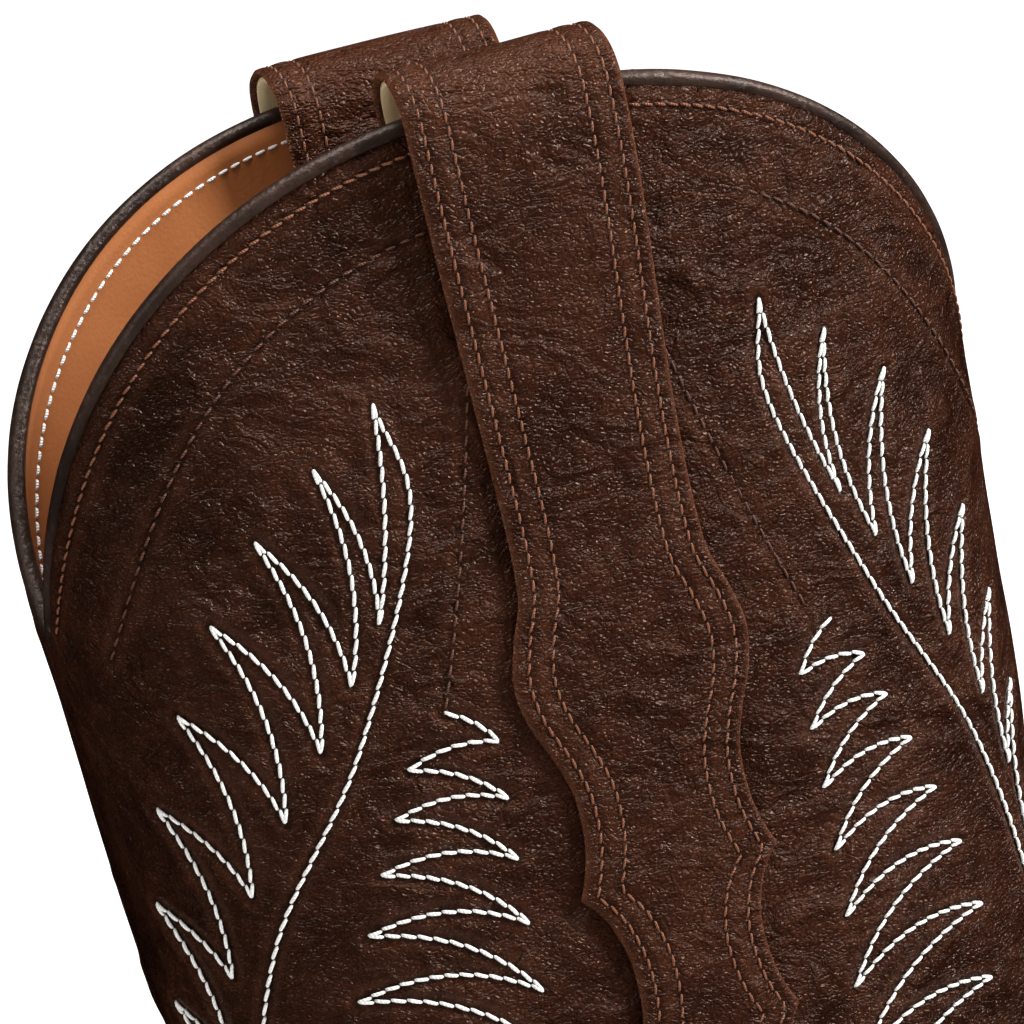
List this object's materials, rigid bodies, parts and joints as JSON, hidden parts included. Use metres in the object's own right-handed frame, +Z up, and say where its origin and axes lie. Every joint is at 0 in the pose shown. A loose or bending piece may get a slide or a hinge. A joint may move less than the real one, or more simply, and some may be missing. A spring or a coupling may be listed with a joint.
{
  "type": "cowboy boot",
  "caption": "Western riding boot with a flared shaft, deep V top line with rolled binding, scalloped pull-strap overlays, rounded toe and underslung stacked heel.",
  "frame": {"origin": "centre of the boot's bounding box in plan, on the ground", "axes": "+Z up along the shaft; the toe points along -X and the heel along +X; -Y is the outer side of this left boot"},
  "size_m": [0.3108, 0.1084, 0.3595],
  "materials": {
    "shaft_leather": "mottled dark brown pebble grain, waxed",
    "foot_leather": "mottled dark brown pebble grain, waxed",
    "strap_leather": "rust brown mottled grain with lighter worn edges",
    "binding_leather": "dark umber, smooth semi-gloss",
    "lining_leather": "tan, smooth matt",
    "strap_backing": "cream, smooth matt",
    "interlining": "woven cotton backing",
    "leatherboard": "undyed, matt",
    "sole_leather": "brown edge dressing, waxed",
    "heel_leather": "stacked leather with edge dressing",
    "cork": "granulated cork",
    "cap_rubber": "matt black",
    "spring_steel": "plain",
    "nail_brass": "plain",
    "peg_wood": "plain, cut flush"
  },
  "bodies": {
    "root": {"shaft_front_panel": "shaft_leather", "shaft_back_panel": "shaft_leather", "shaft_lining_front": "lining_leather", "shaft_lining_back": "lining_leather", "side_seam_welt_outer": "binding_leather", "side_seam_welt_inner": "binding_leather", "vamp": "foot_leather", "counter_cover": "foot_leather", "toe_puff": "leatherboard", "vamp_interlining": "interlining", "counter_stiffener": "leatherboard", "vamp_lining": "lining_leather", "heel_lining": "lining_leather", "spur_ridge": "sole_leather", "top_binding_front": "binding_leather", "top_binding_back": "binding_leather", "pull_strap_outer": "strap_leather", "pull_strap_lining_outer": "strap_backing", "pull_strap_inner": "strap_leather", "pull_strap_lining_inner": "strap_backing", "outsole": "sole_leather", "welt": "sole_leather", "heel_rand": "sole_leather", "cork_filler": "cork", "heel_filler": "leatherboard", "shank": "spring_steel", "insole": "leatherboard", "footbed": "lining_leather", "heel_cap": "cap_rubber", "peg_1": "peg_wood", "peg_2": "peg_wood", "peg_3": "peg_wood", "peg_4": "peg_wood", "peg_5": "peg_wood", "peg_6": "peg_wood", "peg_7": "peg_wood", "peg_8": "peg_wood", "peg_9": "peg_wood", "peg_10": "peg_wood", "heel_lift_1": "heel_leather", "heel_lift_2": "heel_leather", "heel_lift_3": "heel_leather", "heel_lift_4": "heel_leather", "heel_lift_5": "heel_leather", "heel_nail_1": "nail_brass", "heel_nail_2": "nail_brass", "heel_nail_3": "nail_brass", "heel_nail_4": "nail_brass", "heel_nail_5": "nail_brass"}
  },
  "joints": []
}
